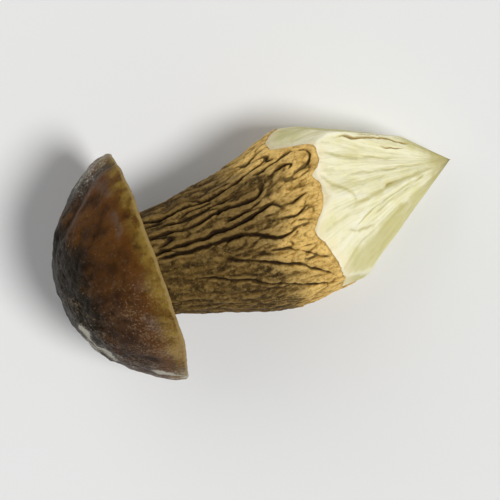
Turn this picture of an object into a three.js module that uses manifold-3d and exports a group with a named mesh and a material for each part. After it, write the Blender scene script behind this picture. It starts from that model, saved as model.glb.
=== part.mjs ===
// A dried termite mushroom: one small fruit body with a domed cap, a stout ribbed stem that swells towards the
// foot, and a foot whittled to a blunt point with a knife. It lies on its side, on the cap's rim and the stem.
//
// Millimetres, +Z up. The body is shaped on its own axis: the cap's rim is in the plane X = 0, the crown points
// to -X and the foot to +X. Then it leans until the rim and the swollen stem both touch the ground. Angles
// round the axis run from +Z, the upper side, towards +Y.
import * as THREE from "three";
import { mergeVertices } from "three/addons/utils/BufferGeometryUtils.js";
import Module from "manifold-3d";

// Driving dimensions of the fruit body.
const rimRadius = 15.8; // the cap, at its rim
const capHeight = 12; // from the rim's plane to the crown
const neckRadius = 7; // the stem, where it leaves the cap
const stemRadius = 11.7; // the stem, where it is thickest
const stemWidestAt = 22; // how far that is below the rim's plane
const footTipAt = 43.9; // the whittled point
const flatDepth = 0.45; // how far the body has dried flat where it lay

// How finely the surface is faceted.
const facetsRound = 72;
const facetsOnCap = 13;
const facetsUnderCap = 8;
const facetsOnStem = 20;

// The cap's outer line, as shares of its height and radius, from the crown to the sharp rim.
const domeLine = [
  [-1, 0],
  [-0.965, 0.29],
  [-0.84, 0.5],
  [-0.6, 0.71],
  [-0.36, 0.855],
  [-0.13, 0.965],
  [0, 1],
];

// The gills' edges, from the rim inwards to the neck: distance below the rim's plane, and radius.
const gillLine = [
  [0, rimRadius],
  [-0.9, rimRadius - 0.9],
  [-2.1, rimRadius - 3.2],
  [-2.6, neckRadius + 3.4],
  [-2, neckRadius + 0.8],
  [-0.6, neckRadius],
];

// The stem's line, from the neck to the swelling and on to the end that the knife takes off.
const stemLine = [
  [-0.6, neckRadius],
  [2.5, neckRadius + 0.35],
  [6.5, neckRadius + 1.25],
  [11, neckRadius + 2.5],
  [17, stemRadius - 0.75],
  [stemWidestAt, stemRadius],
  [29, stemRadius + 0.2],
  [footTipAt + 4, stemRadius - 0.8],
];

// The stem's swelling hangs a little to one side of the cap's axis.
const stemSag = { side: -0.75, from: 1, to: 27 };

// Long ribs on the dried stem: how many, how deep, and where they run out.
const ribs = { count: 11, depth: 0.33, from: 1.5, full: 7, fadesAt: 26 };

// The rim and the crown aren't quite round: waves of [times round, size in mm, angle of the first crest].
const capWaves = [
  [2, 0.22, 80],
  [3, 0.16, 200],
  [5, 0.1, 40],
];

// The knife's strokes. Each is a flat cut that faces the angle "round" and passes through two points, given by
// their distance along the axis and their height over it.
const strokes = [
  { round: 82, start: [26.6, 10], end: [45.4, 2.2] },
  { round: 62, start: [36.5, 6.5], end: [footTipAt, 0] },
  { round: 18, start: [24.2, 11.7], end: [footTipAt, 0] },
  { round: -24, start: [21.6, 11.4], end: [29.2, 9.4] },
  { round: -46, start: [23.2, 11.7], end: [footTipAt, 0] },
  { round: -96, start: [27.6, 11.4], end: [footTipAt, 0] },
  { round: -142, start: [24, 11.7], end: [footTipAt, 0] },
  { round: 176, start: [28, 11.7], end: [footTipAt + 1.5, 0] },
  { round: 131, start: [24.5, 11.7], end: [footTipAt, 0] },
  { round: 66, start: [20.8, 11.3], end: [26.6, 10.7] },
  { round: -74, start: [23, 11.5], end: [29, 11.1] },
];
const knife = { width: 60, length: 60, thickness: 30, behindStart: 5 }; // the space one stroke clears

// A smooth step from 0 at "from" to 1 at "to".
function ramp(value, from, to) {
  return THREE.MathUtils.smoothstep(value, from, to);
}

// A smooth line through a list of [along, radius] points, as lathe points with the axis upright.
function smoothLine(points, steps) {
  const line = new THREE.SplineCurve(
    points.map(([along, radius]) => new THREE.Vector2(radius, along)),
  );
  return line.getPoints(steps);
}

// The whole outline, from the crown over the rim, along the gills and down the stem to the axis again.
function outline() {
  const dome = domeLine.map(([height, radius]) => [height * capHeight, radius * rimRadius]);
  const points = [
    ...smoothLine(dome, facetsOnCap),
    ...smoothLine(gillLine, facetsUnderCap).slice(1),
    ...smoothLine(stemLine, facetsOnStem).slice(1),
  ];
  points[0].x = 0;
  points.push(new THREE.Vector2(0, footTipAt + 4));
  return points;
}

// How far the skin stands in or out of the plain outline, for a point on the stem.
function ribHeight(along, angle) {
  const strength = ramp(along, ribs.from, ribs.full) * (1 - ramp(along, ribs.full + 8, ribs.fadesAt));
  const twist = 0.5 * Math.sin(along * 0.22);
  const wave = Math.cos(ribs.count * angle + twist) + 0.4 * Math.cos((ribs.count + 5) * angle - 2 * twist);
  return (ribs.depth / 1.4) * strength * wave;
}

// How far the cap stands in or out, growing from the crown to the rim.
function capWave(angle, radius) {
  const share = radius / rimRadius;
  const sum = capWaves.reduce((total, [times, size, crest]) => {
    return total + size * Math.cos(times * (angle - THREE.MathUtils.degToRad(crest)));
  }, 0);
  return sum * share * share;
}

// Turns the upright lathe onto +X and gives the stem its ribs and its sag, and the cap its waves.
function shapeBody(lathe) {
  const position = lathe.getAttribute("position");
  const point = new THREE.Vector3();
  for (let i = 0; i < position.count; i++) {
    point.fromBufferAttribute(position, i);
    const along = point.y;
    const plainRadius = Math.hypot(point.x, point.z);
    const angle = Math.atan2(point.z, point.x);
    const isCap = along < 0 && plainRadius > neckRadius + 0.1;
    const swell = isCap ? capWave(angle, plainRadius) : ribHeight(along, angle);
    const radius = plainRadius > 0 ? plainRadius + swell : 0;
    const hump = ramp(along, stemSag.from, 9) * (1 - ramp(along, 16, stemSag.to));
    const side = stemSag.side * hump;
    position.setXYZ(i, along, radius * Math.sin(angle) + side, radius * Math.cos(angle));
  }
  return lathe;
}

// A three.js geometry as a solid that can be cut. Seams and poles are merged, and the slivers left there go.
function solidOf(geometry, wasm) {
  const bare = new THREE.BufferGeometry();
  bare.setAttribute("position", geometry.getAttribute("position"));
  bare.setIndex(geometry.index);
  const merged = mergeVertices(bare, 1e-4);
  const index = merged.index.array;
  const kept = [];
  for (let i = 0; i < index.length; i += 3) {
    const [a, b, c] = [index[i], index[i + 1], index[i + 2]];
    if (a !== b && b !== c && c !== a) kept.push(a, b, c);
  }
  const mesh = new wasm.Mesh({
    numProp: 3,
    vertProperties: merged.attributes.position.array,
    triVerts: new Uint32Array(kept),
  });
  return new wasm.Manifold(mesh);
}

// A cut solid as a three.js geometry with flat facets.
function geometryOf(solid) {
  const mesh = solid.getMesh();
  const geometry = new THREE.BufferGeometry();
  geometry.setAttribute("position", new THREE.BufferAttribute(mesh.vertProperties, 3));
  geometry.setIndex(new THREE.BufferAttribute(mesh.triVerts, 1));
  return geometry;
}

// The block of space that one stroke of the knife takes away: a box that stands on the cut's plane.
function knifeBlock({ round, start, end }) {
  const angle = THREE.MathUtils.degToRad(round);
  const outwards = new THREE.Vector3(0, Math.sin(angle), Math.cos(angle));
  const axis = new THREE.Vector3(1, 0, 0);
  const from = axis.clone().multiplyScalar(start[0]).addScaledVector(outwards, start[1]);
  const to = axis.clone().multiplyScalar(end[0]).addScaledVector(outwards, end[1]);
  const along = to.sub(from).normalize();
  const across = new THREE.Vector3().crossVectors(outwards, axis);
  const normal = new THREE.Vector3().crossVectors(along, across);
  const block = new THREE.BoxGeometry(knife.length, knife.width, knife.thickness);
  block.translate(knife.length / 2 - knife.behindStart, 0, knife.thickness / 2);
  block.applyMatrix4(new THREE.Matrix4().makeBasis(along, across, normal).setPosition(from));
  return block;
}

// The lean that brings the rim and the thickest part of the stem down to one level.
const lean = Math.atan2(rimRadius - stemRadius, stemWidestAt);

// The ground, as a block below the resting plane, in the body's own frame.
function groundBlock() {
  const block = new THREE.BoxGeometry(200, 200, 40);
  block.translate(0, 0, -20);
  block.rotateY(-lean);
  const restingLevel = rimRadius * Math.cos(lean) - flatDepth;
  const up = new THREE.Vector3(-Math.sin(lean), 0, Math.cos(lean));
  block.translate(...up.multiplyScalar(-restingLevel).toArray());
  return block;
}

const wasm = await Module();
wasm.setup();

const lathe = new THREE.LatheGeometry(outline(), facetsRound);
const uncut = solidOf(shapeBody(lathe), wasm);
const whittled = strokes.reduce((body, stroke) => body.subtract(solidOf(knifeBlock(stroke), wasm)), uncut);
const body = whittled.subtract(solidOf(groundBlock(), wasm));

const skin = new THREE.MeshStandardMaterial({ color: "#6f5632", roughness: 0.8, metalness: 0 });
const mushroom = new THREE.Mesh(geometryOf(body), skin);
mushroom.name = "mushroom";
mushroom.rotation.y = lean;

// The origin is under the middle of the body, on the ground.
const box = new THREE.Box3().setFromObject(mushroom, true);
const middle = box.getCenter(new THREE.Vector3());
mushroom.position.set(-middle.x, -middle.y, -box.min.z);

const fruitBody = new THREE.Group();
fruitBody.add(mushroom);

export default fruitBody;
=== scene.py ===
import bpy
import math
import numpy as np
from mathutils import Matrix, Vector


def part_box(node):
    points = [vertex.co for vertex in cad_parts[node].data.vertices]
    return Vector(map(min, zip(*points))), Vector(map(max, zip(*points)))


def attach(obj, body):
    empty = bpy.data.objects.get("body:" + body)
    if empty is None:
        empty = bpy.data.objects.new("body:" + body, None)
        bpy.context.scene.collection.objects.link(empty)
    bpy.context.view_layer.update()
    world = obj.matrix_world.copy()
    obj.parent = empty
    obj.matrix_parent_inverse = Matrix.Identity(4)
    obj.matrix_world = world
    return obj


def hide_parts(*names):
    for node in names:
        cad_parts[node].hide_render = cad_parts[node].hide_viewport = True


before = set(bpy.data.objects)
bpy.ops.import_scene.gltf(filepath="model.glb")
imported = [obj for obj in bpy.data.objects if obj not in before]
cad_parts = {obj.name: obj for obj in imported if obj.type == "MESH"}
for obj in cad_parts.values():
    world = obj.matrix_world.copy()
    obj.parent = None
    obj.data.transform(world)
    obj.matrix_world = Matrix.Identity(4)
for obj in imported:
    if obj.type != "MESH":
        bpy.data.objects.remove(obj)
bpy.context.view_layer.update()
nodeLow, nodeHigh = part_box("mushroom")

# The whole fruit body. It is shaped on its own axis in millimetres: the rim is in the plane 0, the crown is
# before it and the whittled point after it. Angles round the axis go from the upper side towards +Y.
mm = 0.001
outOfReach = 60.0  # in mm, further than anything on the body
body = {
    "rimRadius": 15.8,
    "neckRadius": 7.0,
    "stemRadius": 11.7,
    "stemWidestAt": 22.0,
    "footTipAt": 43.9,
    "flatDepth": 0.45,  # how far it has dried flat where it lies
}
lean = math.atan2(body["rimRadius"] - body["stemRadius"], body["stemWidestAt"])
restingLevel = body["rimRadius"] * math.cos(lean) - body["flatDepth"]
tipPlace = nodeHigh.x / mm - body["footTipAt"] * math.cos(lean)
middle = (nodeLow + nodeHigh) / 2


# camera

view = {
    "tilt": 3.6,  # degrees away from straight above, towards the foot
    "rise": 19.5,  # degrees that the foot rises to the right
    "lens": 200.0,
    "sensor": 36.0,
    "across": 0.0667,  # metres seen across the picture
    "aim": (-0.0007, -0.0029),  # metres from the middle of the body, to the right and up in the picture
}


def makeCamera():
    tilt, rise = math.radians(view["tilt"]), math.radians(view["rise"])
    back = Vector((math.sin(tilt), 0, math.cos(tilt)))
    right = Vector((math.cos(rise), -math.sin(rise), 0))
    right = (right - right.dot(back) * back).normalized()
    up = back.cross(right)
    data = bpy.data.cameras.new("camera")
    data.lens, data.sensor_width = view["lens"], view["sensor"]
    data.clip_start, data.clip_end = 0.01, 20
    camera = bpy.data.objects.new("camera", data)
    distance = view["lens"] / view["sensor"] * view["across"]
    turn = Matrix((right, up, back)).transposed().to_4x4()
    aim = middle + view["aim"][0] * right + view["aim"][1] * up
    camera.matrix_world = Matrix.Translation(aim + distance * back) @ turn
    bpy.context.scene.collection.objects.link(camera)
    bpy.context.scene.camera = camera


makeCamera()
print("camera made")


# shared shaping tools

class Lumps:
    # Smooth random heights through space, about -0.7 to 0.7, the same on each run.
    def __init__(self, seed):
        random = np.random.default_rng(seed)
        self.order = random.permutation(512)
        slopes = random.normal(size=(512, 3))
        self.slopes = slopes / np.linalg.norm(slopes, axis=1, keepdims=True)

    def at(self, points, size):
        place = points / np.asarray(size, float)
        cell = np.floor(place).astype(int)
        part = place - cell
        fade = part ** 3 * (part * (part * 6 - 15) + 10)
        total = np.zeros(points.shape[:-1])
        for corner in np.ndindex(2, 2, 2):
            key = cell + corner
            spot = self.order[key[..., 0] & 511] + key[..., 1]
            spot = self.order[spot & 511] + key[..., 2]
            slope = self.slopes[self.order[spot & 511]]
            share = np.prod(np.where(corner, fade, 1 - fade), axis=-1)
            total += share * ((part - corner) * slope).sum(-1)
        return total

    def layered(self, points, size, layers=3):
        size = np.asarray(size, float)
        return sum(self.at(points + 31.7 * n, size / 2 ** n) / 2 ** n for n in range(layers))


def ramp(value, start, end):
    share = np.clip((value - start) / (end - start), 0, 1)
    return share * share * (3 - 2 * share)


def smoothLine(at, points):
    # A smooth curve through [place, height] points, read at any places.
    places, heights = np.array(points, float).T
    slopes = np.gradient(heights, places)
    at = np.clip(at, places[0], places[-1])
    i = np.clip(np.searchsorted(places, at) - 1, 0, len(places) - 2)
    gap = places[i + 1] - places[i]
    t = (at - places[i]) / gap
    start = (1 + 2 * t) * (1 - t) ** 2 * heights[i] + t * (1 - t) ** 2 * gap * slopes[i]
    return start + t * t * (3 - 2 * t) * heights[i + 1] - t * t * (1 - t) * gap * slopes[i + 1]


def onAxis(along, radius, angle):
    return np.stack([along, radius * np.sin(angle), radius * np.cos(angle)], -1)


def layDown(points):
    # From the body's own axis to where it lies, in metres. What would sink has dried flat.
    along, side, up = np.moveaxis(points, -1, 0)
    x = along * math.cos(lean) + up * math.sin(lean) + tipPlace
    z = up * math.cos(lean) - along * math.sin(lean) + restingLevel
    return np.stack([x, side + middle.y / mm, np.maximum(z, 0)], -1) * mm


def hollows(height, rows, columns):
    # How far each point lies under the ones around it, in mm: creases are positive, crests negative.
    blurred = height
    for axis, reach in ((0, rows), (1, columns)):
        mode = "edge" if axis == 0 else "wrap"
        margin = [(0, 0), (0, 0)]
        margin[axis] = (reach + 1, reach)
        for _ in range(2):
            total = np.cumsum(np.pad(blurred, margin, mode), axis=axis)
            width = 2 * reach + 1
            blurred = (np.roll(total, -width, axis) - total) / width
            blurred = blurred[:height.shape[0]] if axis == 0 else blurred[:, :height.shape[1]]
    return blurred - height


unrolled = 10.0  # in mm, the radius on which drawn lines are measured round the body


def drawnLines(lines, along, angle, radius):
    # Listed lines on a round body, each [width, depth, [along, degrees round], ...]: the relief that they
    # take away, and a mark of 1 along their bottoms.
    lumps = Lumps(71)
    plain = onAxis(along, radius, angle)
    uneven = 1 + 0.9 * lumps.at(plain, (2.4, 1.4, 1.4))
    along = along + 0.5 * lumps.at(plain + 5, 1.8)
    angle = angle + (0.5 * lumps.at(plain + 15, 2.6) + 0.12 * lumps.at(plain + 25, 0.8)) / radius
    total, mark = np.zeros(along.shape), np.zeros(along.shape)
    for width, depth, *corners in lines:
        finer = np.linspace(0, len(corners) - 1, 3 * len(corners) - 2)
        places = [smoothLine(finer, list(enumerate(column))) for column in zip(*corners)]
        places = np.stack(places, 1).tolist()
        nearest, travelled, length = np.full(along.shape, outOfReach), np.zeros(along.shape), 0.0
        for (startAlong, startRound), (endAlong, endRound) in zip(places, places[1:]):
            step = np.array([endAlong - startAlong, np.radians(endRound - startRound) * unrolled])
            turn = (angle - np.radians(startRound) + np.pi) % (2 * np.pi) - np.pi
            away = np.stack([along - startAlong, turn * unrolled], -1)
            share = np.clip((away @ step) / (step @ step), 0, 1)
            gap = away - share[..., None] * step
            gap = np.hypot(gap[..., 0], gap[..., 1] * radius / unrolled)
            travelled = np.where(gap < nearest, length + share * np.linalg.norm(step), travelled)
            nearest = np.minimum(nearest, gap)
            length += np.linalg.norm(step)
        ends = ramp(travelled, -0.4, 1.6) * ramp(length - travelled, -0.4, 1.6)
        nearest = nearest / np.clip(uneven, 0.5, 1.4)
        fall = np.exp(-((nearest / width) ** 2)) * np.clip(uneven, 0.3, 1.1)
        lips = np.exp(-(((nearest - 2.6 * width) / width) ** 2))
        total = total + depth * (fall - 0.25 * lips) * ends
        mark = np.maximum(mark, fall * ends)
    return total, mark


def makeMesh(name, points, faces, values, uvs, finish):
    mesh = bpy.data.meshes.new(name)
    mesh.from_pydata(points.tolist(), [], faces)
    mesh.polygons.foreach_set("use_smooth", [True] * len(mesh.polygons))
    for key, value in values.items():
        isPlace = value.ndim == 2
        held = mesh.attributes.new(key, "FLOAT_VECTOR" if isPlace else "FLOAT", "POINT")
        held.data.foreach_set("vector" if isPlace else "value", value.astype(np.float32).ravel())
    layer = mesh.uv_layers.new(name="OFBake")
    layer.data.foreach_set("uv", np.asarray(uvs, np.float32).ravel())
    mesh.materials.append(finish)
    mesh.update()
    piece = bpy.data.objects.new(name, mesh)
    bpy.context.scene.collection.objects.link(piece)
    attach(piece, "root")
    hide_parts("mushroom")
    print(name, "has", len(mesh.polygons), "faces")


def makeRound(name, points, shares, values, finish):
    # A closed skin over a grid of rings, with a point at each end. "shares" are the rings' places on the map.
    rings, columns = points.shape[:2]
    around = np.arange(columns)
    after = (around + 1) % columns
    faces, uvs = [], []
    first, last = rings * columns, rings * columns + 1
    width = 1 / columns
    for ring in range(rings - 1):
        here, there = ring * columns, (ring + 1) * columns
        faces += np.stack([here + around, there + around, there + after, here + after], 1).tolist()
        low, high = shares[ring], shares[ring + 1]
        u = around * width
        corners = [(u, low), (u, high), (u + width, high), (u + width, low)]
        uvs.append(np.stack([np.stack([a, np.full(columns, b)], 1) for a, b in corners], 1).reshape(-1, 2))
    for ring, tip, share, turned in ((0, first, 0.0, False), (rings - 1, last, 1.0, True)):
        here = ring * columns
        a, b = (after, around) if turned else (around, after)
        faces += np.stack([np.full(columns, tip), here + a, here + b], 1).tolist()
        u = np.stack([around * width + width / 2, around * width, around * width + width], 1)
        u = u[:, [0, 2, 1]] if turned else u
        v = np.stack([np.full(columns, share)] + [np.full(columns, shares[ring])] * 2, 1)
        uvs.append(np.stack([u, v], -1).reshape(-1, 2))
    flat = points.reshape(-1, 3)
    ends = np.stack([points[0].mean(0), points[-1].mean(0)])
    allPoints = np.concatenate([flat, ends])
    held = {}
    for key, value in values.items():
        rows = value.reshape(rings * columns, -1)
        tips = np.stack([value[0].mean(0), value[-1].mean(0)]).reshape(2, -1)
        held[key] = np.concatenate([rows, tips])
        if value.ndim == 2:
            held[key] = held[key][:, 0]
    makeMesh(name, allPoints, faces, held, np.concatenate(uvs), finish)


mapMargin = 0.01  # kept free at a map's two ends


def mapShares(points):
    # The places of a grid's rings on its map, by how far apart they are.
    span = np.linalg.norm(np.diff(points, axis=0), axis=-1).mean(1)
    shares = np.concatenate([[0], np.cumsum(span)])
    return mapMargin + (1 - 2 * mapMargin) * shares / shares[-1]


# shader tools

class Wire:
    # A node's output. Arithmetic on it adds Math nodes.
    def __init__(self, nodes, socket):
        self.nodes, self.socket = nodes, socket

    def maths(self, operation, first, second):
        return self.nodes.node("ShaderNodeMath", {"operation": operation}, {0: first, 1: second})

    def __add__(self, other):
        return self.maths("ADD", self, other)

    def __sub__(self, other):
        return self.maths("SUBTRACT", self, other)

    def __rsub__(self, other):
        return self.maths("SUBTRACT", other, self)

    def __mul__(self, other):
        return self.maths("MULTIPLY", self, other)

    __radd__, __rmul__ = __add__, __mul__


class Nodes:
    # Adds nodes to one tree: a type, its settings, then its sockets' values or links.
    def __init__(self, tree):
        self.tree = tree

    def node(self, kind, settings, sockets, out=0):
        made = self.tree.nodes.new(kind)
        for key, value in settings.items():
            setattr(made, key, value)
        for key, value in sockets.items():
            if isinstance(value, Wire):
                self.tree.links.new(value.socket, made.inputs[key])
            else:
                made.inputs[key].default_value = value
        return Wire(self, made.outputs[out])


class Finish(Nodes):
    # One material: a Principled shader and whatever feeds it.
    def __init__(self, name, fixed):
        self.material = bpy.data.materials.new(name)
        self.material.use_nodes = True
        super().__init__(self.material.node_tree)
        self.tree.nodes.clear()
        self.shader = self.node("ShaderNodeBsdfPrincipled", {}, fixed).socket.node
        output = self.tree.nodes.new("ShaderNodeOutputMaterial")
        self.tree.links.new(self.shader.outputs[0], output.inputs["Surface"])

    def feed(self, **wires):
        for key, wire in wires.items():
            self.tree.links.new(wire.socket, self.shader.inputs[key.replace("_", " ")])

    def read(self, name):
        return self.node("ShaderNodeAttribute", {"attribute_name": name}, {}, 2)

    def place(self, stretch=(1, 1, 1), name="bodyPoint"):
        point = self.node("ShaderNodeAttribute", {"attribute_name": name}, {}, 1)
        return self.node("ShaderNodeVectorMath", {"operation": "MULTIPLY"}, {0: point, 1: stretch})

    def noise(self, place, scale, detail, roughness, distortion=0.0):
        sockets = {"Vector": place, "Scale": scale, "Detail": detail}
        sockets.update({"Roughness": roughness, "Distortion": distortion})
        return self.node("ShaderNodeTexNoise", {"noise_dimensions": "3D"}, sockets)

    def step(self, value, start, end):
        settings = {"interpolation_type": "SMOOTHSTEP"}
        return self.node("ShaderNodeMapRange", settings, {"Value": value, "From Min": start, "From Max": end})

    def mix(self, share, first, second):
        first, second = (c if isinstance(c, Wire) else (*c, 1) for c in (first, second))
        settings = {"data_type": "RGBA", "clamp_factor": True}
        return self.node("ShaderNodeMix", settings, {0: share, 6: first, 7: second}, 2)

    def over(self, below, where, span, strength, colour):
        # Lays a colour over what is below it, as a mask rises through a span.
        return self.mix(self.step(where, *span) * strength, below, colour)

    def bump(self, height, depth):
        return self.node("ShaderNodeBump", {}, {"Strength": 1.0, "Distance": depth * mm, "Height": height})


# the cap: a thick domed skin, hollow under the gills

cap = {
    "rings": 150,
    "ringsUnder": 40,
    "columns": 400,
    "height": 12.0,
    # outer line, as shares of height and radius
    "line": [[0, 0], [0.29, 0.035], [0.5, 0.16], [0.71, 0.4], [0.855, 0.64], [0.965, 0.87], [1, 1]],
    # from the rim's edge inwards, [distance after the rim's plane, radius]
    "under": [
        [0.16, 15.72], [0.3, 15.5], [0.22, 15.2], [-0.3, 14.9], [-1.6, 14.3], [-3.8, 13], [-5.2, 11],
        [-5.9, 8.5], [-6, 6], [-6, 1.5],
    ],
    "waves": [[2, 0.22, 80], [3, 0.16, 200], [5, 0.1, 40]],  # [times round, mm, degrees of the first crest]
    "lumps": [9.0, 0.42],  # size and height in mm, as below
    "dents": [3.4, 0.16],
    "grain": [0.9, 0.08],
    "net": [1.5, 0.34],  # the crown's fine net
    "wrinkles": [3.2, 0.5],  # and its wide wrinkles
    "puckers": 0.2,  # height of the short folds towards the margin
    "uneven": [0.55, 0.22],  # how far the margin wanders, in long waves and in short ones
    "creases": [  # [degrees round, from share, to share, width, depth]
        [63, 0.45, 1.0, 1.1, 0.42],
        [101, 0.3, 0.9, 1.4, 0.3],
        [-128, 0.4, 1.0, 1.3, 0.35],
        [171, 0.5, 1.0, 1.6, 0.3],
        [-62, 0.55, 0.95, 1.2, 0.16],
    ],
    "gloss": {"Specular IOR Level": 0.1, "Specular Tint": (1, 0.72, 0.45, 1)},
    "colours": {  # a pair holds the dark and the light tone
        "crown": [(0.004, 0.003, 0.0015), (0.018, 0.012, 0.005)],
        "crownDust": (0.15, 0.12, 0.08),
        "amber": [(0.03, 0.01, 0.002), (0.115, 0.043, 0.006)],
        "purple": [(0.03, 0.011, 0.004), (0.085, 0.038, 0.014)],
        "nearRim": (0.12, 0.042, 0.005),
        "gold": [(0.1, 0.042, 0.006), (0.3, 0.195, 0.035)],
        "lilac": (0.13, 0.1, 0.085),
        "rimEdge": (0.36, 0.25, 0.09),
        "dust": (0.36, 0.24, 0.14),
        # painted shade for the skin's hollows
        "hollowShade": (0.01, 0.005, 0.002),
        "thinBloom": (0.2, 0.18, 0.15),
        "thickBloom": (0.6, 0.57, 0.48),
        "under": [(0.2, 0.16, 0.08), (0.42, 0.36, 0.22)],
    },
}


def makeCapFinish():
    finish = Finish("capSkin", cap["gloss"])
    colours = cap["colours"]
    place = finish.place()
    hollowShade = finish.read("hollowShade")
    down = finish.read("down")  # 0 at the crown, 1 at the rim
    side = finish.read("side")  # 0 at one shoulder, 1 at the other
    blotches = finish.noise(place, 0.15, 3, 0.6, 0.5)
    streaks = finish.noise(finish.place((1, 1, 1), "spoke"), 1.0, 3, 0.55, 0.3)
    mottle = finish.noise(place, 0.75, 4, 0.65)
    specks = finish.noise(place, 3.2, 3, 0.7)
    grain = finish.noise(place, 2.6, 5, 0.65)

    # a near black crown, then amber on one side and purple brown on the other
    crown = finish.mix(finish.step(mottle, 0.3, 0.7), *colours["crown"])
    crown = finish.over(crown, specks + mottle, (1.08, 1.3), 0.5, colours["crownDust"])
    amber = finish.mix(finish.step(streaks + blotches, 0.8, 1.2), *colours["amber"])
    purple = finish.mix(finish.step(streaks + mottle, 0.8, 1.2), *colours["purple"])
    shoulders = finish.mix(finish.step(side + blotches * 0.6 - 0.3, 0.3, 0.75), purple, amber)
    pastCrown = down + mottle * 0.25 + blotches * 0.35 - finish.step(side, 0.78, 0.98) * 0.45
    skin = finish.mix(finish.step(pastCrown, 0.7, 0.94), crown, shoulders)

    # a gold margin with a pale edge
    nearRim = down + (blotches - 0.5) * 0.16 + (streaks - 0.5) * 0.12
    skin = finish.over(skin, nearRim, (0.74, 0.9), 0.8, colours["nearRim"])
    gold = finish.mix(finish.step(mottle + streaks, 0.75, 1.2), *colours["gold"])
    skin = finish.over(skin, nearRim + (specks - 0.5) * 0.06, (0.85, 1.0), 0.9, gold)
    band = finish.step(nearRim, 0.8, 0.88) * finish.step(nearRim, 0.97, 0.9)
    skin = finish.mix(finish.step(blotches, 0.52, 0.68) * band * 0.5, skin, colours["lilac"])
    skin = finish.over(skin, down + (mottle - 0.5) * 0.03, (0.985, 1.0), 0.75, colours["rimEdge"])

    # dust, painted shade in the hollows, and the bloom
    dusting = specks + streaks * 0.5 + blotches * 0.3 - side * 0.24
    skin = finish.over(skin, dusting, (0.88, 1.05), 0.5, colours["dust"])
    # painted shade darkens the skin where it lies under its neighbours
    skin = finish.over(skin, hollowShade, (0.01, 0.14), 0.75, colours["hollowShade"])
    powder = finish.read("bloom") * 0.9 + mottle * 0.8 + specks * 1.2
    skin = finish.over(skin, powder, (1.1, 1.5), 0.35, colours["thinBloom"])
    bloom = finish.step(powder, 1.42, 1.75)
    skin = finish.mix(bloom * 0.8, skin, colours["thickBloom"])
    under = finish.mix(finish.step(mottle, 0.3, 0.7), *colours["under"])
    finish.feed(
        Base_Color=finish.mix(finish.read("under"), skin, under),
        Roughness=0.34 + mottle * 0.16 + bloom * 0.35,
        Normal=finish.bump(grain + specks * 0.5, 0.26),
    )
    return finish.material


def capHeight(lumps, plain, angle, radius, grown):
    # How far the dried skin stands out of the plain dome. "grown" is 0 at the crown and 1 at the rim.
    def rough(key, shift):
        size, height = cap[key]
        return height * lumps.layered(plain + shift, size)

    height = cap["lumps"][1] * lumps.at(plain, cap["lumps"][0]) * ramp(grown, 0, 0.25)
    height = height + rough("dents", 40) + rough("grain", 90)
    # the crown's skin has dried into a fine net, and the margin into short radial puckers
    wander = plain + 1.2 * lumps.at(plain + 7, 3.0)[..., None]
    net = cap["net"][1] * np.abs(lumps.at(wander, cap["net"][0]))
    wide = cap["wrinkles"][1] * np.abs(lumps.at(wander + 33, cap["wrinkles"][0]))
    height = height + (net + wide) * (1 - 0.75 * ramp(grown, 0.45, 0.85))
    spokes = np.stack([grown * 5 + 0 * angle, 9 * np.sin(angle), 9 * np.cos(angle)], -1)
    height = height + cap["puckers"] * np.abs(lumps.at(spokes, 1.0)) * ramp(grown, 0.45, 0.85)
    for facing, start, end, width, depth in cap["creases"]:
        bent = np.radians(facing) + 0.08 * np.sin(grown * 9 + facing)
        gap = ((angle - bent + np.pi) % (2 * np.pi) - np.pi) * radius
        fall = np.exp(-((gap / width) ** 2)) - 0.45 * np.exp(-(((np.abs(gap) - 2.2 * width) / width) ** 2))
        reach = ramp(grown, start - 0.2, start + 0.1) * (1 - ramp(grown, end - 0.1, end + 0.15))
        height = height - depth * fall * reach
    fromCrown = (radius / body["rimRadius"]) ** 2
    for times, size, crest in cap["waves"]:
        height = height + size * np.cos(times * (angle - np.radians(crest))) * fromCrown
    return height * (1 - 0.35 * ramp(grown, 0.93, 1.0))


def capBloom(lumps, points):
    # Where a pale bloom lies: in a patch on one shoulder, and in broken blots and a line low on the other.
    facing = points / np.linalg.norm(points, axis=-1, keepdims=True)
    shoulder = ramp(facing @ np.array([-0.2, 0.96, 0.1]), 0.86, 1.0)
    patchy = 0.55 + 1.1 * lumps.layered(points + 60, 5.0)
    level = points[..., 2] + 5 * lumps.layered(points + 20, 6.0)
    low = np.exp(-(((level + 1.0) / 6.5) ** 2))
    toLow = ramp(-points[..., 1] + 3 * lumps.at(points + 80, 4.0), -1, 6)
    streak = points[..., 2] - 3.4 + 3.5 * lumps.layered(points + 10, 2.8)
    line = np.exp(-((streak / 2.0) ** 2)) * np.clip(0.5 + 2.6 * lumps.at(points + 20, 2.6), 0, 1)
    belly = np.maximum(0.95 * low * patchy, 1.15 * line) * toLow
    return 0.62 * shoulder + 0.9 * np.clip(belly, 0, 1.2)


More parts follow.
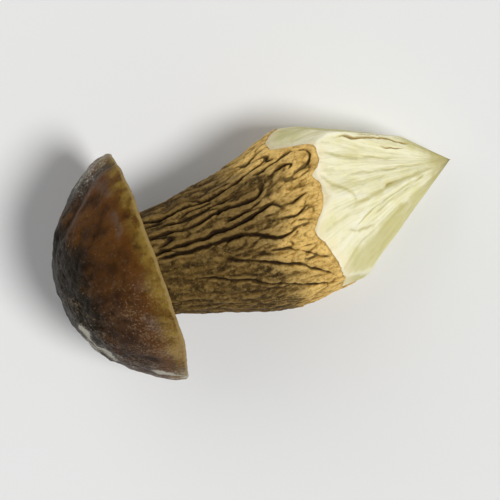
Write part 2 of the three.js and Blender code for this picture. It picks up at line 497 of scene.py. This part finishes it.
def makeCap():
    lumps = Lumps(11)
    angle = np.linspace(0, 2 * np.pi, cap["columns"], endpoint=False)[None, :]
    share = np.linspace(0, 1, cap["rings"] + 1)[1:] ** 0.9
    radii, drops = np.array(cap["line"]).T
    spans = np.hypot(np.diff(radii) * body["rimRadius"], np.diff(drops) * cap["height"])
    lengths = np.concatenate([[0], np.cumsum(spans)]) / spans.sum()
    radius = smoothLine(share, np.stack([lengths, radii], 1))[:, None] * body["rimRadius"]
    along = (smoothLine(share, np.stack([lengths, drops], 1))[:, None] - 1) * cap["height"]
    radius, along, angle = np.broadcast_arrays(radius, along, angle)
    plain = onAxis(along, radius, angle)
    outward = plain - np.array([-2.0, 0, 0])
    outward = outward / np.linalg.norm(outward, axis=-1, keepdims=True)
    grown = share[:, None]
    height = capHeight(lumps, plain, angle, radius, grown)
    outer = plain + outward * height[..., None]
    # the margin isn't quite level
    long, short = cap["uneven"]
    uneven = long * lumps.at(plain + 12, 8.0) + short * lumps.layered(plain + 17, 3.0)
    outer[..., 0] += uneven * ramp(grown, 0.6, 1.0)

    # the rim turns in, and the underside carries the gills
    steps = np.linspace(0, 1, cap["ringsUnder"])
    line = np.array([[0, body["rimRadius"]]] + cap["under"])
    spaces = np.concatenate([[0], np.cumsum(np.hypot(*np.diff(line, axis=0).T))])
    places = (spaces[-1] * (0.25 * steps + 0.75 * steps ** 2))[1:, None]
    underAlong, underRadius = (smoothLine(places, np.stack([spaces, column], 1)) for column in line.T)
    edge = outer[-1]
    edgeRadius = np.hypot(edge[:, 1], edge[:, 2])[None, :]
    fade = 1 - ramp(places, 0, 5)
    thisRadius = underRadius + (edgeRadius - body["rimRadius"]) * fade
    thisAlong = underAlong + edge[None, :, 0] * fade
    inner = onAxis(thisAlong, thisRadius, angle[:1])

    points = np.concatenate([outer, inner])
    hollowShade = hollows(np.concatenate([height, np.repeat(height[-1:], len(inner), 0)]), 4, 5)
    hollowShade[-len(inner):] = 0
    down = np.concatenate([np.broadcast_to(grown, radius.shape), np.ones(inner.shape[:2])])
    tucked = np.broadcast_to(ramp(places, 0.5, 1.2), inner.shape[:2])
    spoke = [3.5 * np.broadcast_to(turned(angle[:1]), down.shape) for turned in (np.sin, np.cos)]
    values = {
        "bodyPoint": points,
        "spoke": np.stack([down * 3, *spoke], -1),
        "hollowShade": hollowShade,
        "down": down,
        "under": np.concatenate([np.zeros(radius.shape), tucked]),
        "side": np.clip(points[..., 1] / body["rimRadius"] * 0.5 + 0.5, 0, 1),
        "bloom": capBloom(lumps, points),
    }
    makeRound("cap", layDown(points), mapShares(points), values, makeCapFinish())


# the gills: thin crowded blades under the cap, short ones between the long ones

gills = {
    "count": 116,
    "steps": 15,
    "outerEnd": 15.1,  # radius where they end, inside the rim
    "edge": [[7.0, -0.3], [7.8, -2.0], [10.4, -2.6], [12.6, -2.1], [14.3, -1.2], [15.1, -0.3]],
    "bed": [[7.0, -6.4], [8.5, -6.2], [11, -5.5], [13, -4.1], [14.3, -1.9], [15.1, -0.6]],
    "starts": [body["neckRadius"], 12.2, 9.6, 12.6],  # where each in a group of four begins
    "thickness": [0.34, 0.13],  # at the bed and at the free edge
    "mapMargin": 0.05,  # of each blade's cell on the map
    "gloss": {"Specular IOR Level": 0.3},
    "colours": {
        "pale": [(0.3, 0.27, 0.15), (0.5, 0.46, 0.3)],
        "deep": (0.1, 0.075, 0.035),
        "specks": (0.62, 0.58, 0.45),
    },
}


def makeGillFinish():
    finish = Finish("gillFlesh", gills["gloss"])
    colours = gills["colours"]
    place = finish.place()
    mottle = finish.noise(place, 0.6, 4, 0.6)
    specks = finish.noise(place, 4.0, 3, 0.6)
    pale = finish.mix(finish.step(mottle, 0.35, 0.65), *colours["pale"])
    # painted shade deep between the blades, darkest at the bed
    skin = finish.mix(finish.read("depth"), pale, colours["deep"])
    skin = finish.over(skin, specks, (0.55, 0.75), 0.5, colours["specks"])
    finish.feed(Base_Color=skin, Roughness=0.78 + specks * 0.1, Normal=finish.bump(specks, 0.06))
    return finish.material


def makeBlade(n, random, loop, sides):
    # One gill, as rings of points along it. "loop" goes from the bed, 0, to the free edge, 1, and back, and
    # "sides" says on which side of the blade each point lies.
    group = n % len(gills["starts"])
    start = gills["starts"][group] + random.uniform(-0.3, 0.5) * (group > 0)
    radius = np.linspace(start, gills["outerEnd"], gills["steps"])[:, None]
    edge, bed = (smoothLine(radius, gills[key]) for key in ("edge", "bed"))
    taper = ramp(radius, start - 0.1, start + 1.5) if group else 1.0
    edge = bed + (edge - bed) * (0.2 + 0.8 * taper) + random.uniform(-0.12, 0.12)
    along = bed + (edge - bed) * loop
    atBed, atEdge = gills["thickness"]
    thick = atBed + (atEdge - atBed) * loop
    phase = random.uniform(0, 6.3, 3)
    sway = 0.16 * np.sin(radius * 1.3 + phase[0]) + 0.07 * np.sin(radius * 3.1 + phase[1])
    sway = sway + loop * (0.2 * np.sin(radius * 0.9 + phase[2]) + random.normal(0, 0.12))
    turn = 2 * np.pi * (n + random.uniform(-0.12, 0.12)) / gills["count"]
    return onAxis(along, np.broadcast_to(radius, along.shape), turn + (sway + sides * thick / 2) / radius)


def makeGills():
    random = np.random.default_rng(5)
    across = np.array([0, 0.35, 0.7, 1.0])  # from the bed to the free edge
    loop = np.concatenate([across, across[::-1]])
    sides = np.repeat([1.0, -1.0], len(across))
    steps, size = gills["steps"], len(loop)
    cells = math.ceil(math.sqrt(gills["count"]))  # each blade has its own cell on the map
    margin = gills["mapMargin"]
    points, faces, uvs = [], [], []
    for n in range(gills["count"]):
        points.append(makeBlade(n, random, loop, sides).reshape(-1, 3))
        first = n * steps * size
        mapU = (np.arange(steps) / (steps - 1) * (1 - 2 * margin) + margin + n % cells) / cells
        mapV = (np.arange(size + 1) / size * (1 - 2 * margin) + margin + n // cells) / cells
        for i in range(steps - 1):
            here, there = first + i * size, first + (i + 1) * size
            for j in range(size):
                k = (j + 1) % size
                faces.append([here + j, here + k, there + k, there + j])
                low, high = mapV[j], mapV[j + 1]
                uvs += [(mapU[i], low), (mapU[i], high), (mapU[i + 1], high), (mapU[i + 1], low)]
        last = first + (steps - 1) * size
        faces += [list(range(first, first + size))[::-1], list(range(last, last + size))]
        uvs += [(mapU[0], mapV[0])] * (2 * size)
    points = np.concatenate(points)
    # depth says where the painted shade between the blades lies
    values = {"bodyPoint": points, "depth": np.tile(1 - loop, steps * gills["count"])}
    makeMesh("gills", layDown(points), faces, values, uvs, makeGillFinish())


# the whittled foot: cut faces that meet in ridges and run to a point

foot = {
    "rows": 150,
    "columns": 440,
    "start": 18.0,  # inside the stem
    # each stroke of the knife: degrees round that it faces, then two points on it, [along, height over the
    # axis]
    "strokes": [
        [82, [26.6, 10], [45.4, 2.2]],
        [62, [36.5, 6.5], [body["footTipAt"], 0]],
        [18, [24.2, 11.7], [body["footTipAt"], 0]],
        [-24, [21.6, 11.4], [29.2, 9.4]],
        [-46, [23.2, 11.7], [body["footTipAt"], 0]],
        [-96, [27.6, 11.4], [body["footTipAt"], 0]],
        [-142, [24, 11.7], [body["footTipAt"], 0]],
        [176, [28, 11.7], [45.4, 0]],
        [131, [24.5, 11.7], [body["footTipAt"], 0]],
        [66, [20.8, 11.3], [26.6, 10.7]],
        [-74, [23, 11.5], [29, 11.1]],
    ],
    "sunk": 0.5,  # how far a cut face has dried hollow, in mm
    "worn": 0.35,  # how far the ridges between the cuts have worn down
    "strands": 0.3,  # height of the fibres
    # creases in the flesh, as the stem's: first the brown ones
    "veins": [
        [0.11, 0.2, [28.5, 45], [31, 48.5], [33.5, 51.5], [36, 56.5], [39, 64]],
        [0.07, 0.12, [31.5, 51], [34, 55], [36, 60]],
        [0.07, 0.1, [34.5, 46], [36.5, 49], [38.2, 54]],
        [0.09, 0.1, [32.6, -10], [34.6, -8.5]],
        [0.12, 0.16, [30.5, 150], [33, 146.5], [35, 148], [38, 150]],
    ],
    "creases": [
        [0.45, 0.3, [26.8, -12.5], [30, -11.5], [34, -10.5], [38.5, -8], [41.5, -6]],
        [0.3, 0.1, [24.6, 22], [25.6, 10], [27.6, 2], [28.4, -14]],
        [0.3, 0.14, [26, 34], [31, 31], [36, 33]],
        [0.25, 0.12, [27, 12], [31, 14], [36, 13], [40, 15]],
        [0.25, 0.14, [26.6, -30], [30, -25], [35, -22], [40, -20]],
        [0.35, 0.18, [25.6, -26], [28.5, -40], [31, -50]],
        [0.4, 0.2, [30, -34], [34, -31], [38, -34]],
        [0.4, 0.2, [27, 108], [31, 112], [36, 108]],
        [0.4, 0.2, [28, -118], [33, -121], [38, -116]],
    ],
    "underSkin": 0.3,  # how far the flesh lies under the skin at its edge
    "gloss": {"Specular IOR Level": 0.15},
    "colours": {
        "flesh": [(0.93, 0.885, 0.62), (0.88, 0.83, 0.48)],  # two tones, in patches
        "streaks": (0.6, 0.56, 0.22),
        "fibres": [(0.5, 0.44, 0.16), (0.93, 0.9, 0.7)],  # the dark ones and the pale ones
        "threads": (0.55, 0.48, 0.2),
        # painted shade on the sides and underside of the cut flesh
        "flankShade": (0.52, 0.47, 0.18),
        "nearSkin": (0.95, 0.82, 0.56),
        "tip": (0.5, 0.42, 0.14),
        # painted shade in hollows and creases, and a painted highlight on crests
        "hollowShade": (0.46, 0.4, 0.14),
        "crest": (0.95, 0.93, 0.78),
        "creaseShade": (0.48, 0.42, 0.14),
        "vein": [(0.5, 0.36, 0.08), (0.2, 0.1, 0.02)],  # its sides and its bottom
        "edge": (0.6, 0.42, 0.14),
    },
}


def cutRadius(along, angle):
    # The lowest cut at each place, and the next lowest one.
    lowest = second = np.full(along.shape, outOfReach)
    for facing, (startAlong, startHeight), (endAlong, endHeight) in foot["strokes"]:
        slope = (endHeight - startHeight) / (endAlong - startAlong)
        height = np.maximum(startHeight + slope * (along - startAlong), 0)
        turn = np.cos(angle - np.radians(facing))
        radius = np.where(turn > 0.08, height / np.maximum(turn, 0.08), outOfReach)
        second = np.minimum(second, np.maximum(lowest, radius))
        lowest = np.minimum(lowest, radius)
    return lowest, second


def makeFootFinish():
    finish = Finish("cutFlesh", foot["gloss"])
    colours = foot["colours"]
    place = finish.place()
    hollowShade = finish.read("hollowShade")
    vein = finish.read("vein")
    fibres = finish.noise(finish.place((1, 1, 1), "fibre"), 1.0, 5, 0.6, 0.25)
    wide = finish.noise(finish.place((1, 0.22, 0.22), "fibre"), 1.0, 3, 0.5, 0.5)
    threads = finish.noise(finish.place((1.5, 3.5, 3.5), "fibre"), 1.0, 3, 0.6, 0.3)
    patches = finish.noise(place, 0.28, 3, 0.6, 0.6)
    grain = finish.noise(place, 3.0, 4, 0.7)

    # cream flesh, streaked along the fibres
    flesh = finish.mix(finish.step(patches, 0.35, 0.68), *colours["flesh"])
    flesh = finish.over(flesh, wide, (0.48, 0.7), 0.42, colours["streaks"])
    flesh = finish.over(flesh, fibres, (0.5, 0.68), 0.42, colours["fibres"][0])
    flesh = finish.over(flesh, fibres, (0.44, 0.28), 0.6, colours["fibres"][1])

    # painted shade round the sides and underside, darker at the tip, warmer by the skin
    flankShade = finish.read("flankShade") + patches * 0.6 + wide * 0.4
    flesh = finish.over(flesh, flankShade, (0.75, 1.45), 0.6, colours["flankShade"])
    nearSkin = finish.read("nearSkin") + patches * 0.8
    flesh = finish.over(flesh, nearSkin, (0.8, 1.4), 0.4, colours["nearSkin"])
    flesh = finish.over(flesh, threads, (0.52, 0.66), 0.22, colours["threads"])
    flesh = finish.over(flesh, finish.read("toTip") + patches * 0.6, (0.75, 1.35), 0.65, colours["tip"])

    # painted shade in the hollows, a painted highlight on the crests, and the drawn lines, with painted shade
    # along the creases
    flesh = finish.over(flesh, hollowShade, (0.012, 0.14), 0.5, colours["hollowShade"])
    flesh = finish.over(flesh, hollowShade, (-0.01, -0.1), 0.4, colours["crest"])
    flesh = finish.over(flesh, finish.read("creaseShade") + fibres * 0.7, (0.6, 1.5), 0.42, colours["creaseShade"])
    flesh = finish.over(flesh, vein + fibres * 0.5, (0.3, 0.8), 0.5, colours["vein"][0])
    flesh = finish.over(flesh, vein + grain, (0.75, 1.5), 0.75, colours["vein"][1])
    flesh = finish.over(flesh, finish.read("edge") + patches * 0.6, (0.75, 1.5), 0.4, colours["edge"])
    finish.feed(
        Base_Color=flesh,
        Roughness=0.7 + grain * 0.12,
        Normal=finish.bump(grain * 0.4 + fibres + threads * 0.35, 0.26),
    )
    return finish.material


def makeFoot():
    lumps, others = Lumps(41), Lumps(42)
    tip = body["footTipAt"]
    rows = foot["start"] + (tip - 0.02 - foot["start"]) * np.linspace(0, 1, foot["rows"])
    around = np.linspace(0, 2 * np.pi, foot["columns"], endpoint=False)
    along, angle = np.meshgrid(rows, around, indexing="ij")
    skin = smoothLine(along, stem["line"])
    plain = onAxis(along, skin, angle)
    fromEnd = along - skinEnd(around)[None, :]
    # the knife rocks a little, so no face is quite flat
    rocked = angle + 0.07 * lumps.at(plain, (9, 6, 6))
    lowest, second = cutRadius(along, rocked)
    gap = second - lowest
    toTip = ramp(tip - along, 0, 8)
    fromSkin = 0.25 + 0.75 * ramp(fromEnd, 0, 3)

    # the cut faces dry hollow, the ridges between them wear, and the fibres stand up
    fibre = np.stack([along * 0.09, 8 * np.sin(angle), 8 * np.cos(angle)], -1)
    fibre = fibre + 0.6 * lumps.at(plain, 5.0)[..., None]
    face = onAxis(along, lowest, angle)
    strands = foot["strands"] * (0.3 - np.abs(others.layered(fibre, 1.9, 3))) + 0.09 * others.at(fibre, 0.5)
    waves = 0.35 * lumps.at(face, (9, 4, 4)) + 0.16 * others.at(face, (3.5, 2, 2))
    waves = waves + 0.05 * lumps.at(face, 0.7)
    reach = 0.35 + 0.3 * lumps.at(plain + 30, (3, 2, 2))
    worn = foot["worn"] * reach * np.exp(-gap / reach)
    sunk = foot["sunk"] * (1 - np.exp(-gap / 1.6)) * toTip * fromSkin
    radius = lowest - worn - sunk + (strands + waves) * (0.08 + 0.92 * toTip) * fromSkin
    veins, veinMark = drawnLines(foot["veins"], along, angle, lowest)
    creases, creaseMark = drawnLines(foot["creases"], along, angle, lowest)
    radius = radius - veins - creases
    # under the skin it follows the stem, and well below its creases
    inside = skin - foot["underSkin"] - 1.4 * ramp(-fromEnd, 0.3, 1.8)
    radius = np.maximum(np.minimum(radius, inside), 0.01)
    points = onAxis(along, radius, angle)
    points[..., 1] += smoothLine(along, stem["sag"])
    values = {
        "bodyPoint": points,
        "fibre": fibre,
        "hollowShade": hollows(radius, 3, 3),
        "vein": veinMark,
        "creaseShade": creaseMark,
        "toTip": ramp(along, tip - 9, tip),
        "flankShade": ramp(-np.cos(angle), -0.92, -0.3),
        "nearSkin": 1 - ramp(fromEnd, 0.2, 3.2),
        "edge": np.exp(-np.abs(skin - lowest) / 0.7),
    }
    makeRound("foot", layDown(points), mapShares(points), values, makeFootFinish())


# the stem: a skin dried into long folds, cut off unevenly where the foot begins

stem = {
    "rows": 190,
    "columns": 490,
    "start": -6.6,  # inside the cap
    "shownFrom": -2.2,  # where the fine rows begin
    # outer line and sideways sag, [along, radius or sag]
    "line": [
        [-7, 6.6], [-0.6, body["neckRadius"]], [2.5, 7.35], [6.5, 8.25], [11, 9.5], [17, 10.95],
        [body["stemWidestAt"], body["stemRadius"]], [29, 11.9], [44, 11],
    ],
    "sag": [[-7, 0], [0, 0], [5, -0.5], [9, -0.8], [13, -1.05], [17.6, -0.75], [22, 0], [44, 0]],
    "thickness": 0.35,  # of the skin at its cut edge
    "lip": {"height": 0.07, "at": 0.6, "width": 0.4},  # the low swelling beside that edge
    # where the skin ends: [degrees round, distance along]
    "end": [
        [-100, 27], [-85, 24.2], [-67, 24.1], [-41, 23.2], [-26, 22.4], [-14, 21.5], [-6, 23], [2, 23.7],
        [13, 24.1], [19, 23.6], [25, 24.9], [34, 25.5], [42, 24.9], [47, 22.8], [53, 21], [68, 20.2],
        [88, 22.2], [112, 25.2], [131, 24.3], [152, 25.6], [176, 27.8], [200, 26], [222, 24.2], [240, 25.3],
    ],
    # creases that show: [width, depth, [distance along, degrees round], ...]
    "creases": [
        [0.22, 0.7, [0.5, 9], [5, 11], [9.3, 12], [14.1, 15], [17.9, 17]],
        [0.2, 0.55, [0.8, 3], [9.3, 4.5], [13, 4], [15.3, -3], [17, -8], [19.6, -6.5]],
        [0.22, 0.5, [0.5, 31], [5.8, 27], [11, 29], [16.1, 27.5], [17.2, 37]],
        [0.22, 0.5, [0.5, 56], [6, 50], [12.7, 46.5], [16.1, 48], [19.6, 52]],
        [0.18, 0.4, [10.5, 19], [14.6, 21], [16.5, 24]],
        [0.18, 0.35, [2.5, 40], [7, 37], [10, 38], [13, 36]],
        [0.18, 0.35, [9, -12], [14, -20], [19, -36], [23, -55]],
        [0.18, 0.3, [5, -24], [11, -33], [17, -48], [22, -62]],
        [0.16, 0.3, [15, -14], [19, -22], [23, -40]],
        [0.22, 0.5, [16.5, 44], [20.5, 44], [23.4, 41], [24.4, 35], [23.7, 29.5], [21.4, 27]],
        [0.16, 0.3, [18.2, 36], [20.5, 37.5], [21.8, 34.5], [20.6, 32]],
        [0.16, 0.3, [18, 12], [20, 9], [22.6, 11]],
        [0.16, 0.3, [17.5, 4], [19.5, 1.5], [22, 3.5]],
    ],
    # wandering folds: size along and across the stem, width and depth of their valleys
    "folds": {"size": (10, 2.1, 2.1), "width": 0.075, "depth": 0.34},
    "smalls": {"size": (4, 0.95, 0.95), "width": 0.13, "depth": 0.14},
    "worms": {"size": (2.2, 0.95, 0.95), "width": 0.12, "depth": 0.24},  # short ones by the cut
    "gloss": {"Specular IOR Level": 0.12},
    "colours": {
        "byCap": [(0.045, 0.026, 0.006), (0.19, 0.11, 0.028)],
        "byCut": [(0.46, 0.245, 0.04), (1.0, 0.66, 0.2)],
        # a painted highlight for the crests, also laid on pale flecks and grains
        "crestHighlightAndFlecks": [(0.36, 0.23, 0.07), (0.98, 0.67, 0.23)],  # by the cap and by the cut
        "flecks": (0.035, 0.018, 0.005),
        "grains": (0.05, 0.026, 0.006),
        # painted shade for the hollows and along the bottoms of the creases
        "hollowShade": (0.04, 0.02, 0.005),
        "creaseShade": (0.016, 0.008, 0.003),
        "edge": (0.3, 0.15, 0.04),
    },
}


def makeStemFinish():
    finish = Finish("stemSkin", stem["gloss"])
    colours = stem["colours"]
    hollowShade = finish.read("hollowShade")
    creaseShade = finish.read("creaseShade")
    toCut = finish.read("toCut")
    place = finish.place()
    streaks = finish.noise(finish.place((0.3, 1, 1)), 1.3, 5, 0.65, 0.4)
    flecks = finish.noise(finish.place((0.5, 1, 1)), 3.6, 3, 0.7)
    mottle = finish.noise(place, 0.3, 4, 0.6)
    grains = finish.noise(place, 2.2, 2, 0.6)
    grain = finish.noise(place, 2.8, 4, 0.7)

    # brown by the cap and ochre by the cut, with a painted highlight on the crests, pale flecks and dark
    # flecks
    byCap = finish.mix(finish.step(streaks, 0.35, 0.68), *colours["byCap"])
    byCut = finish.mix(finish.step(streaks, 0.32, 0.62), *colours["byCut"])
    skin = finish.mix(finish.step(toCut + mottle * 0.7 + streaks * 0.3, 0.7, 1.4), byCap, byCut)
    crestHighlightAndFlecks = finish.mix(toCut, *colours["crestHighlightAndFlecks"])
    skin = finish.over(skin, hollowShade, (0.0, -0.12), 0.6, crestHighlightAndFlecks)
    skin = finish.over(skin, flecks, (0.55, 0.75), 0.5, crestHighlightAndFlecks)
    skin = finish.over(skin, flecks, (0.46, 0.28), 0.6 - toCut * 0.3, colours["flecks"])
    skin = finish.over(skin, grains, (0.54, 0.68), 0.4, crestHighlightAndFlecks)
    skin = finish.over(skin, grains, (0.46, 0.34), 0.35, colours["grains"])

    # painted shade in the hollows and along the creases, and the cut edge
    skin = finish.over(skin, hollowShade + (flecks - 0.5) * 0.08, (0.0, 0.17), 0.75, colours["hollowShade"])
    skin = finish.over(skin, creaseShade + (flecks - 0.5) * 0.7, (0.25, 1.1), 0.85, colours["creaseShade"])
    skin = finish.over(skin, finish.read("edge") + streaks, (0.8, 1.5), 0.45, colours["edge"])
    finish.feed(
        Base_Color=skin,
        Roughness=0.6 + flecks * 0.2,
        Normal=finish.bump(grain + flecks * 0.7 + grains * 0.8, 0.28),
    )
    return finish.material


def skinEnd(angle):
    # How far along the skin reaches at each angle, with a ragged edge.
    lumps = Lumps(61)
    places = np.array(stem["end"], float)
    places = np.concatenate([places - [360, 0], places, places + [360, 0]])
    ring = onAxis(0 * angle, 11.0, angle)
    ragged = 0.35 * lumps.layered(ring, 1.7, 2) + 0.16 * lumps.at(ring, 0.5)
    return smoothLine(np.degrees(angle), places) + ragged


def stemRelief(plain, along, angle):
    # How far the dried skin stands in or out, and a mark for its valleys: long wandering folds with sharp
    # valleys, rounder and shorter towards the cut.
    lumps, others = Lumps(23), Lumps(24)
    folds, smalls, worms = stem["folds"], stem["smalls"], stem["worms"]

    def valley(place, kind):
        return np.exp(-((place / kind["width"]) ** 2))

    bend = [1.4 * both.at(plain, (6, 4, 4)) for both in (lumps, others)]
    wander = plain + np.stack([0 * along, *bend], -1)
    coarse = ramp(0.6 * others.at(plain, (12, 8, 8)) + np.sin(angle + 0.25 - 0.01 * along), -0.3, 0.3)
    coarse = np.maximum(coarse, ramp(-np.cos(angle), 0.1, 0.7))
    grown = ramp(along, -1, 3)
    foldPlace = lumps.at(wander, folds["size"])
    smallPlace = others.at(wander, smalls["size"])
    wormPlace = lumps.at(wander + 50, worms["size"])
    fades = ramp(others.at(plain + 9, (5, 3, 3)), -0.2, 0.2)
    foldMark = valley(foldPlace, folds) * fades * (0.35 + 0.65 * coarse) * grown
    smallMark = valley(smallPlace, smalls) * (1 - fades * 0.6) * (0.45 + 0.55 * coarse)
    wormMark = valley(wormPlace, worms) * ramp(along, 13, 20) * ramp(lumps.at(plain + 70, 4.0), -0.2, 0.15)

    relief = 0.45 * grown * others.at(plain, (13, 3.6, 3.6))
    relief = relief + 0.45 * (np.minimum(np.abs(foldPlace), 0.4) - 0.2) * (0.4 + 0.6 * coarse) * grown
    relief = relief + 0.3 * (np.minimum(np.abs(smallPlace), 0.5) - 0.25)
    relief = relief - folds["depth"] * foldMark - smalls["depth"] * smallMark - worms["depth"] * wormMark
    relief = relief + 0.07 * others.layered(plain, 0.6, 2)
    relief = relief + 0.13 * (1 - coarse) * others.at(plain, (0.75, 0.5, 0.5))
    marks = np.maximum(np.maximum(0.9 * foldMark, 0.55 * wormMark), 0.35 * smallMark)
    return relief, marks


def makeStem():
    around = np.linspace(0, 2 * np.pi, stem["columns"], endpoint=False)
    end = skinEnd(around)
    shownFrom = stem["shownFrom"]
    hidden = np.linspace(stem["start"], shownFrom - 0.2, 5)  # a few rows inside the cap
    share = np.linspace(0, 1, stem["rows"] - len(hidden))[:, None]
    shown = shownFrom + (end - shownFrom) * share
    along = np.concatenate([np.broadcast_to(hidden[:, None], (len(hidden), len(around))), shown])
    angle = np.broadcast_to(around, along.shape)
    plainRadius = smoothLine(along, stem["line"])
    relief, marks = stemRelief(onAxis(along, plainRadius, angle), along, angle)
    listed, listedMarks = drawnLines(stem["creases"], along, angle, plainRadius)
    relief = relief - listed

    # the skin thins and rolls down where the knife ended it
    left = end - along
    lip = stem["lip"]
    swelling = lip["height"] * np.exp(-(((left - lip["at"]) / lip["width"]) ** 2))
    relief = relief * (0.2 + 0.8 * ramp(left, 0, 2.5)) + swelling - 0.2 * np.exp(-left / 0.7)
    lowest = cutRadius(along, angle)[0]
    radius = np.minimum(plainRadius + relief, lowest + 0.12 + 0.3 * np.maximum(relief, -0.3))
    radius = radius - 0.12 * np.exp(-left / 0.12)

    # over the edge and back under, where the flesh hides it
    last = radius[-1]
    turned = np.stack([last - stem["thickness"] * drop for drop in (0.35, 1.0, 2.4)] + [last * 0 + 2.0])
    back = np.stack([end + 0.04, end + 0.05, end - 0.6, end * 0 + 15.0])
    along = np.concatenate([along, back])
    radius = np.concatenate([radius, turned])
    points = onAxis(along, radius, np.broadcast_to(around, along.shape))
    points[..., 1] += smoothLine(along, stem["sag"])

    def padded(value):
        return np.concatenate([value, np.repeat(value[-1:], len(back), 0)])

    values = {
        "bodyPoint": points,
        "hollowShade": padded(hollows(relief, 5, 5)),
        "creaseShade": padded(np.maximum(listedMarks, marks)),
        "toCut": padded(1 - ramp(left, 0.5, 12)),
        "edge": padded(np.exp(-left / 0.3)),
    }
    makeRound("stem", layDown(points), mapShares(points), values, makeStemFinish())


makeCap()
makeGills()
makeStem()
makeFoot()


# floor and light

studio = {
    "floor": 12.0,  # metres from side to side
    "floorFinish": {"Base Color": (0.84, 0.84, 0.83, 1), "Roughness": 0.85},
    "sky": (0.97, 0.98, 1.0, 1),
    "skyline": 0.84,  # how bright it is round about, and overhead
    "overhead": 0.1,
    "skyFade": (0.05, 0.7),  # between which heights it dims, with 1 straight overhead
    # name, direction it comes from, how wide it looks in degrees, strength
    "lights": [
        ["keyLight", (0.42, -0.32, 1.0), 18, 2.15],
        ["softLight", (-0.35, 0.75, 0.8), 60, 0.6],
    ],
}


def makeFloor():
    size = studio["floor"] / 2
    corners = [(-size, -size, 0), (size, -size, 0), (size, size, 0), (-size, size, 0)]
    mesh = bpy.data.meshes.new("floor")
    mesh.from_pydata(corners, [], [(0, 1, 2, 3)])
    mesh.materials.append(Finish("floorPaper", studio["floorFinish"]).material)
    floor = bpy.data.objects.new("floor", mesh)
    bpy.context.scene.collection.objects.link(floor)


def makeLights():
    for name, direction, width, strength in studio["lights"]:
        data = bpy.data.lights.new(name, "SUN")
        data.angle, data.energy = math.radians(width), strength
        lamp = bpy.data.objects.new(name, data)
        away = Vector(direction).normalized()
        turn = away.to_track_quat("Z", "Y").to_matrix().to_4x4()
        lamp.matrix_world = Matrix.Translation(middle + 0.5 * away) @ turn
        bpy.context.scene.collection.objects.link(lamp)


def makeSky():
    # bright round about and dim overhead
    world = bpy.data.worlds.new("world")
    world.use_nodes = True
    nodes = Nodes(world.node_tree)
    place = nodes.node("ShaderNodeTexCoord", {}, {})
    height = nodes.node("ShaderNodeSeparateXYZ", {}, {0: place}, 2)
    low, high = studio["skyFade"]
    span = {"Value": height, "From Min": low, "From Max": high}
    span.update({"To Min": studio["skyline"], "To Max": studio["overhead"]})
    fade = nodes.node("ShaderNodeMapRange", {"interpolation_type": "SMOOTHSTEP"}, span)
    background = nodes.tree.nodes["Background"]
    background.inputs["Color"].default_value = studio["sky"]
    nodes.tree.links.new(fade.socket, background.inputs["Strength"])
    bpy.context.scene.world = world
    bpy.context.scene.view_settings.view_transform = "Standard"


makeFloor()
makeLights()
makeSky()
print("floor and lights made")
